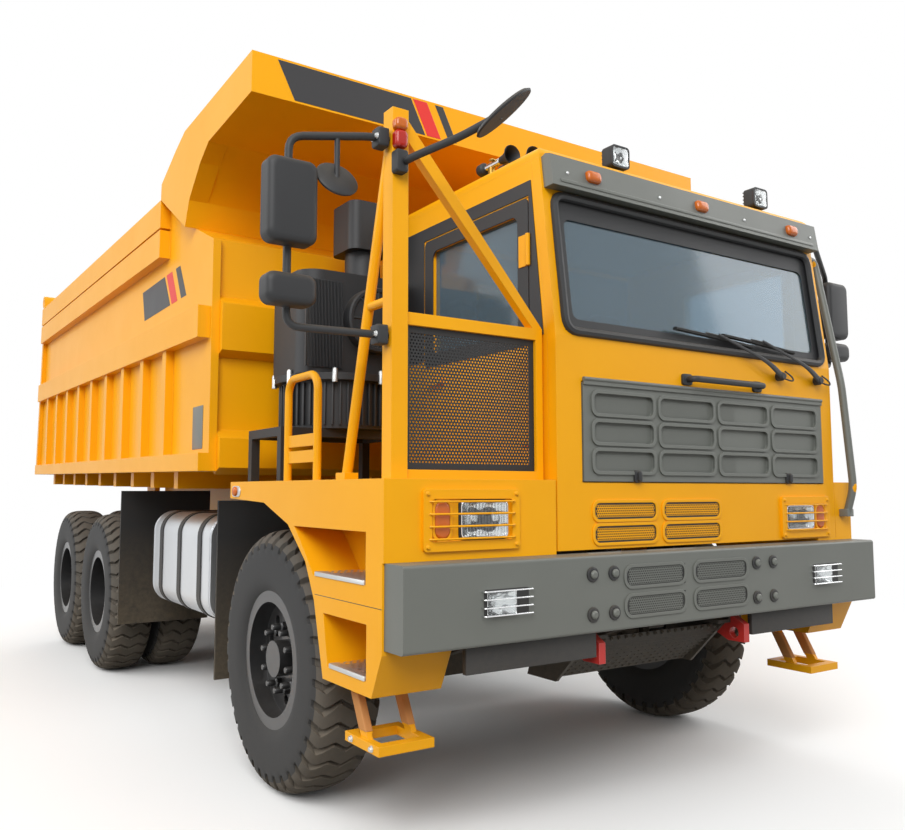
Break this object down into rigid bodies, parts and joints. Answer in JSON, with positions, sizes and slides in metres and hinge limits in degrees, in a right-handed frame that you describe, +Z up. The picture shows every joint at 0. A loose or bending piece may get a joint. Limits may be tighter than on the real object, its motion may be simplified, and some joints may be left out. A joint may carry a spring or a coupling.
{
  "type": "mining dump truck",
  "caption": "Wide-body mining dump truck with an offset cab, a service deck and a hoist-tipped rock bed whose canopy covers the cab.",
  "frame": {"origin": "on the ground at the middle of the overall length and width", "axes": "+Z up, +Y to the truck's rear, +X to the truck's left"},
  "size_m": [4.24, 9.0599, 3.9748],
  "materials": {
    "yellow_paint": "gloss yellow paint",
    "grey_paint": "satin grey paint",
    "black_paint": "satin black chassis paint",
    "rubber": "dusty tyre rubber",
    "flap_rubber": "matt rubber sheet",
    "steel": "bare machined steel",
    "tank_metal": "brushed aluminium",
    "black_plastic": "moulded black plastic",
    "glass": "tinted safety glass",
    "lamp_lens": "clear and amber lamp lenses",
    "seat_cloth": "dark woven cloth",
    "cast": "painted casting",
    "tow_red": "red paint",
    "mesh_black": "black coated mesh"
  },
  "bodies": {
    "chassis": {"frame_rails": "black_paint", "crossmembers": "black_paint", "front_axle": "cast", "springs": "black_paint", "rear_axles": "cast", "engine": "cast", "driveline": "black_paint", "bumper": "grey_paint", "underguard": "black_paint", "tow_hooks": "tow_red", "cab_floor": "yellow_paint", "cab_front": "yellow_paint", "cab_sides": "yellow_paint", "cab_back": "yellow_paint", "cab_roof": "yellow_paint", "cab_glass": "glass", "visor": "grey_paint", "fender_right": "yellow_paint", "fender_left": "yellow_paint", "hanging_steps": "yellow_paint", "guard_frame": "yellow_paint", "guard_mesh": "mesh_black", "handrails": "yellow_paint", "mirrors": "black_plastic", "air_cleaner": "black_plastic", "cleaner_stand": "black_paint", "tanks": "tank_metal", "mudguards": "flap_rubber", "cab_interior": "seat_cloth", "lamps": "lamp_lens"},
    "bed": {"bed_floor": "yellow_paint", "bed_sides": "yellow_paint", "bed_front": "yellow_paint", "bed_canopy": "yellow_paint"},
    "tailgate": {"tailgate": "yellow_paint"},
    "grille_hatch": {"grille_hatch": "grey_paint"},
    "tie_rod": {"tie_rod": "black_paint"},
    "door_left": {"door_left": "yellow_paint", "door_glass_left": "glass"},
    "door_right": {"door_right": "yellow_paint", "door_glass_right": "glass"},
    "knuckle_right": {"knuckle_right": "cast"},
    "wheel_front_right": {"front_tyre_right": "rubber", "front_rim_right": "black_paint"},
    "knuckle_left": {"knuckle_left": "cast"},
    "wheel_front_left": {"front_tyre_left": "rubber", "front_rim_left": "black_paint"},
    "wheel_mid_left": {"mid_tyres_left": "rubber", "mid_rims_left": "black_paint"},
    "wheel_mid_right": {"mid_tyres_right": "rubber", "mid_rims_right": "black_paint"},
    "wheel_rear_left": {"rear_tyres_left": "rubber", "rear_rims_left": "black_paint"},
    "wheel_rear_right": {"rear_tyres_right": "rubber", "rear_rims_right": "black_paint"},
    "hoist_barrel_left": {"hoist_barrel_left": "black_paint"},
    "hoist_rod_left": {"hoist_rod_left": "steel"},
    "hoist_barrel_right": {"hoist_barrel_right": "black_paint"},
    "hoist_rod_right": {"hoist_rod_right": "steel"}
  },
  "joints": [
    {"name": "bed_tilt", "type": "hinge", "parent": "chassis", "child": "bed", "pos_m": [0, 3.52, 1.33], "axis": [-1, 0, 0], "range_deg": [0, 45]},
    {"name": "tailgate_swing", "type": "hinge", "parent": "bed", "child": "tailgate", "pos_m": [0, 4.14, 3.85], "axis": [1, 0, 0], "range_deg": [0, 50]},
    {"name": "door_left_swing", "type": "hinge", "parent": "chassis", "child": "door_left", "pos_m": [1.4873, -3.804, 2.3], "axis": [0, 0, -1], "range_deg": [0, 65]},
    {"name": "door_right_swing", "type": "hinge", "parent": "chassis", "child": "door_right", "pos_m": [-0.7273, -3.804, 2.3], "axis": [0, 0, 1], "range_deg": [0, 55]},
    {"name": "hatch_lift", "type": "hinge", "parent": "chassis", "child": "grille_hatch", "pos_m": [0.406, -4.0003, 2.118], "axis": [-1, 0, 0], "range_deg": [0, 75]},
    {"name": "steer_right", "type": "hinge", "parent": "chassis", "child": "knuckle_right", "pos_m": [-1.12, -2.62, 0.685], "axis": [0, 0, 1], "range_deg": [-33, 33]},
    {"name": "front_right_spin", "type": "hinge", "parent": "knuckle_right", "child": "wheel_front_right", "pos_m": [-1.3975, -2.62, 0.685], "axis": [1, 0, 0], "continuous": true},
    {"name": "steer_left", "type": "hinge", "parent": "chassis", "child": "knuckle_left", "pos_m": [1.12, -2.62, 0.685], "axis": [0, 0, 1], "range_deg": [-33, 33]},
    {"name": "front_left_spin", "type": "hinge", "parent": "knuckle_left", "child": "wheel_front_left", "pos_m": [1.3975, -2.62, 0.685], "axis": [1, 0, 0], "continuous": true},
    {"name": "tie_rod_swing", "type": "hinge", "parent": "knuckle_left", "child": "tie_rod", "pos_m": [1.12, -2.3, 0.48], "axis": [0, 0, 1], "range_deg": [-33, 33]},
    {"name": "mid_left_spin", "type": "hinge", "parent": "chassis", "child": "wheel_mid_left", "pos_m": [1.2775, 1.18, 0.685], "axis": [1, 0, 0], "continuous": true},
    {"name": "mid_right_spin", "type": "hinge", "parent": "chassis", "child": "wheel_mid_right", "pos_m": [-1.2775, 1.18, 0.685], "axis": [1, 0, 0], "continuous": true},
    {"name": "rear_left_spin", "type": "hinge", "parent": "chassis", "child": "wheel_rear_left", "pos_m": [1.2775, 2.68, 0.685], "axis": [1, 0, 0], "continuous": true},
    {"name": "rear_right_spin", "type": "hinge", "parent": "chassis", "child": "wheel_rear_right", "pos_m": [-1.2775, 2.68, 0.685], "axis": [1, 0, 0], "continuous": true},
    {"name": "hoist_left_pivot", "type": "hinge", "parent": "chassis", "child": "hoist_barrel_left", "pos_m": [0.25, 0.42, 0.96], "axis": [1, 0, 0], "range_deg": [0, 17.84]},
    {"name": "hoist_left_rod", "type": "slide", "parent": "hoist_barrel_left", "child": "hoist_rod_left", "axis": [0, 0.9462, 0.3235], "range_m": [0, 1.00309]},
    {"name": "hoist_right_pivot", "type": "hinge", "parent": "chassis", "child": "hoist_barrel_right", "pos_m": [-0.25, 0.42, 0.96], "axis": [1, 0, 0], "range_deg": [0, 17.84]},
    {"name": "hoist_right_rod", "type": "slide", "parent": "hoist_barrel_right", "child": "hoist_rod_right", "axis": [0, 0.9462, 0.3235], "range_m": [0, 1.00309]}
  ],
  "couplings": [
    {"joint": "steer_left", "follows": "steer_right", "ratio": 1},
    {"joint": "tie_rod_swing", "follows": "steer_right", "ratio": -1},
    {"joint": "hoist_left_pivot", "follows": "bed_tilt", "ratio": 0.39648},
    {"joint": "hoist_left_rod", "follows": "bed_tilt", "m_per_rad": 1.2772},
    {"joint": "hoist_right_pivot", "follows": "bed_tilt", "ratio": 0.39648},
    {"joint": "hoist_right_rod", "follows": "bed_tilt", "m_per_rad": 1.2772}
  ]
}
